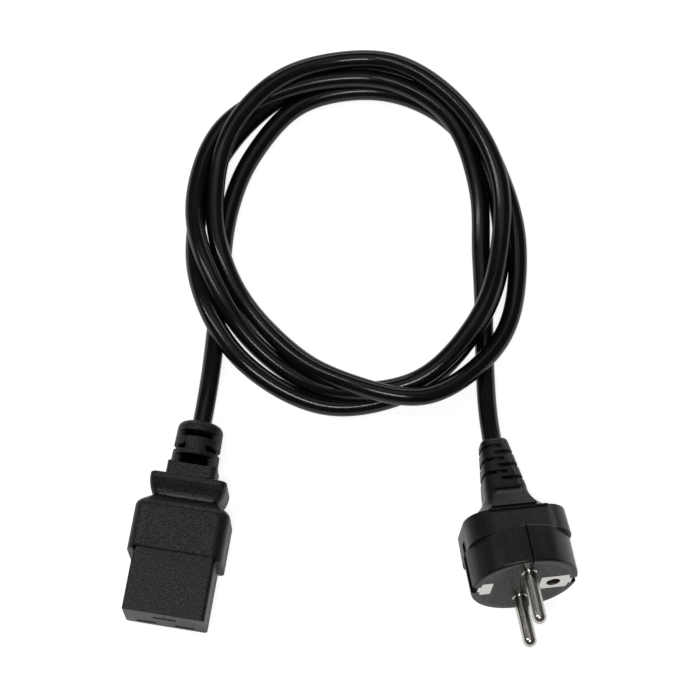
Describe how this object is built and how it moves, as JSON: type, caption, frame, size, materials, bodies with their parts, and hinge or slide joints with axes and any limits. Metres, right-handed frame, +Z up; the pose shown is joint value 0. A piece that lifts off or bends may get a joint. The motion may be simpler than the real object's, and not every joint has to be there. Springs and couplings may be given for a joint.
{
  "type": "c19 power connector",
  "caption": "Mains lead: moulded rectangular three-slot appliance connector, round flexible cord in a loose coil, and moulded round two-pin earthed plug.",
  "frame": {"origin": "bottom centre of the appliance connector's own box, on the ground the lead lies on", "axes": "+Z up; the connector lies along Y with its mating face towards -Y and its cord leaving towards +Y"},
  "size_m": [0.1593, 0.2261, 0.0394],
  "materials": {
    "overmould": "fine matt moulded texture, black flexible PVC",
    "carrier": "satin, dark grey hard moulding",
    "contact": "bright rolled sheet",
    "pin": "polished nickel plate",
    "strap": "bright tinned sheet",
    "jacket": "smooth semi-gloss extruded PVC jacket",
    "line_core": "smooth extruded insulation, brown",
    "neutral_core": "smooth extruded insulation, blue",
    "earth_core": "smooth extruded insulation, green with a yellow stripe"
  },
  "bodies": {
    "root": {"connector_overmould": "overmould", "contact_carrier": "carrier", "line_contact": "contact", "neutral_contact": "contact", "earth_contact": "contact", "connector_line_core": "line_core", "connector_neutral_core": "neutral_core", "connector_earth_core": "earth_core", "connector_jacket_end": "jacket", "plug_overmould": "overmould", "pin_carrier": "carrier", "line_pin": "pin", "neutral_pin": "pin", "earth_strap": "strap", "earth_socket": "contact", "plug_line_core": "line_core", "plug_neutral_core": "neutral_core", "plug_earth_core": "earth_core", "plug_jacket_end": "jacket", "connector_tail": "jacket", "cord_coil": "jacket", "plug_tail": "jacket"}
  },
  "joints": []
}
